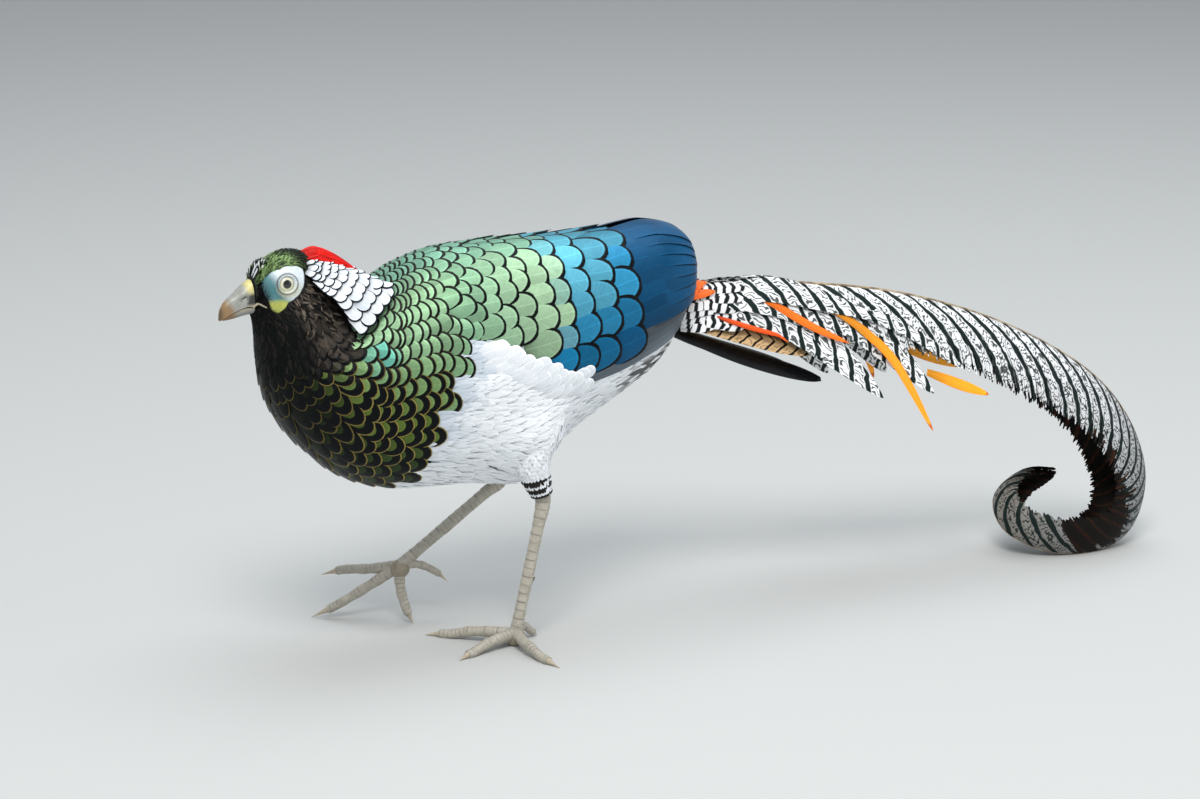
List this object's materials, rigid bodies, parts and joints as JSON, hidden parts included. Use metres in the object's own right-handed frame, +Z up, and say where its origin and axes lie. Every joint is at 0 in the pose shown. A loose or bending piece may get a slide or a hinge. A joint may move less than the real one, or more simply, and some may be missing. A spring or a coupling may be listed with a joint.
{
  "type": "pheasant model",
  "caption": "Life-size still model of a walking male pheasant with an ornate ruff, folded wings and a very long barred tail that curls at its tip.",
  "frame": {"origin": "centre of the bounding box at its base, on the floor the bird stands on", "axes": "+Z up, -X the way the bird faces, -Y its left side, +X towards the tail"},
  "size_m": [0.6414, 0.1706, 0.2485],
  "materials": {
    "body_feathers": "glossy dark green scale feathers with black margins, white below",
    "ruff_feathers": "rounded white feathers with thin blue-black margins",
    "crown_feathers": "green-black short feathers with a scarlet crest and bare blue face skin",
    "bill_horn": "smooth pale horn",
    "eye": "wet gloss, cream iris with a black pupil",
    "wing_feathers": "glossy blue feathers with black margins",
    "thigh_feathers": "soft white feathers with dark bars at the hock",
    "leg_skin": "blue-grey scaly skin with pale claws",
    "tail_feathers": "white vanes with fine black marks and bold dark bars, orange plumes"
  },
  "bodies": {
    "root": {"torso": "body_feathers", "neck": "ruff_feathers", "head": "crown_feathers", "bill_upper": "bill_horn", "bill_lower": "bill_horn", "eye_left": "eye", "eye_right": "eye", "wing_left": "wing_feathers", "wing_right": "wing_feathers", "thigh_left": "thigh_feathers", "thigh_right": "thigh_feathers", "tarsus_left": "leg_skin", "tarsus_right": "leg_skin", "toe_hallux_left": "leg_skin", "toe_inner_left": "leg_skin", "toe_middle_left": "leg_skin", "toe_outer_left": "leg_skin", "toe_hallux_right": "leg_skin", "toe_inner_right": "leg_skin", "toe_middle_right": "leg_skin", "toe_outer_right": "leg_skin", "tail_base": "tail_feathers", "tail_left_2": "tail_feathers", "tail_left_3": "tail_feathers", "tail_left_4": "tail_feathers", "tail_left_5": "tail_feathers", "tail_right_2": "tail_feathers", "tail_right_3": "tail_feathers", "tail_right_4": "tail_feathers", "tail_right_5": "tail_feathers"}
  },
  "joints": []
}
